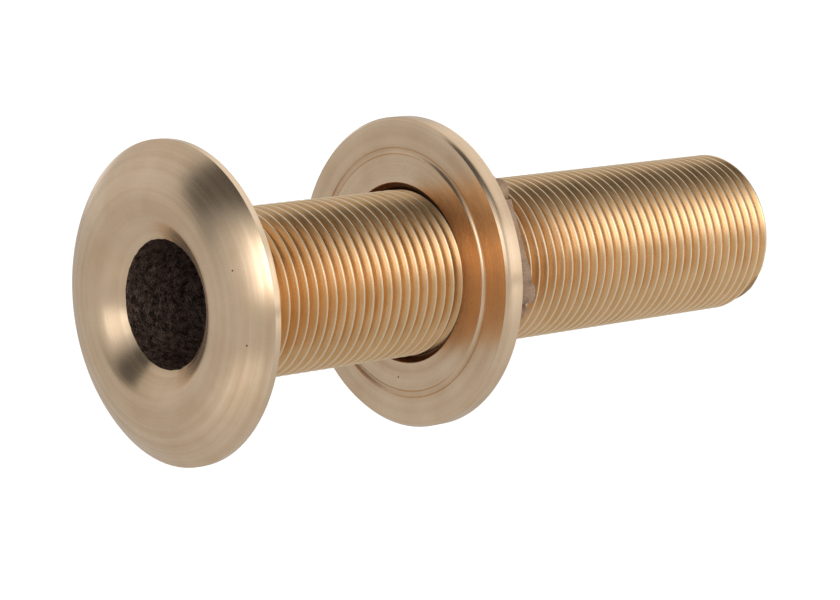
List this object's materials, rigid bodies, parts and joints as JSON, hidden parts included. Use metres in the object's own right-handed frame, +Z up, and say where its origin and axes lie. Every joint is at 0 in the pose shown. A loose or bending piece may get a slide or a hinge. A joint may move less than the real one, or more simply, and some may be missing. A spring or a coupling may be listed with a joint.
{
  "type": "thru hull fitting",
  "caption": "Bronze through-hull skin fitting: domed head with a flared bore, long threaded stem, and a flanged nut that clamps the hull.",
  "frame": {"origin": "on the fitting's axis, in the plane of the head's flat seat, which bears on the outside of the hull", "axes": "+X along the axis from the head to the tail, +Z up"},
  "size_m": [0.1524, 0.062, 0.062],
  "materials": {
    "cast_bronze_body": "turned and satin on the head, cut thread on the stem, raw casting in the bore",
    "turned_bronze_nut": "turned on the face and rim, raw casting on the hexagon"
  },
  "bodies": {
    "fitting_body": {"thru_hull_body": "cast_bronze_body"},
    "nut_travel_ring": {"nut_face_ring": "turned_bronze_nut"},
    "nut": {"flanged_nut": "turned_bronze_nut"}
  },
  "joints": [
    {"name": "nut_travel", "type": "slide", "parent": "fitting_body", "child": "nut_travel_ring", "axis": [1, 0, 0], "range_m": [-0.0508, 0.07158]},
    {"name": "nut_turn", "type": "hinge", "parent": "nut_travel_ring", "child": "nut", "pos_m": [0.0561, 0, 0], "axis": [1, 0, 0], "range_deg": [-7920, 11160]}
  ],
  "couplings": [
    {"joint": "nut_travel", "follows": "nut_turn", "m_per_rad": 0.00036749}
  ]
}
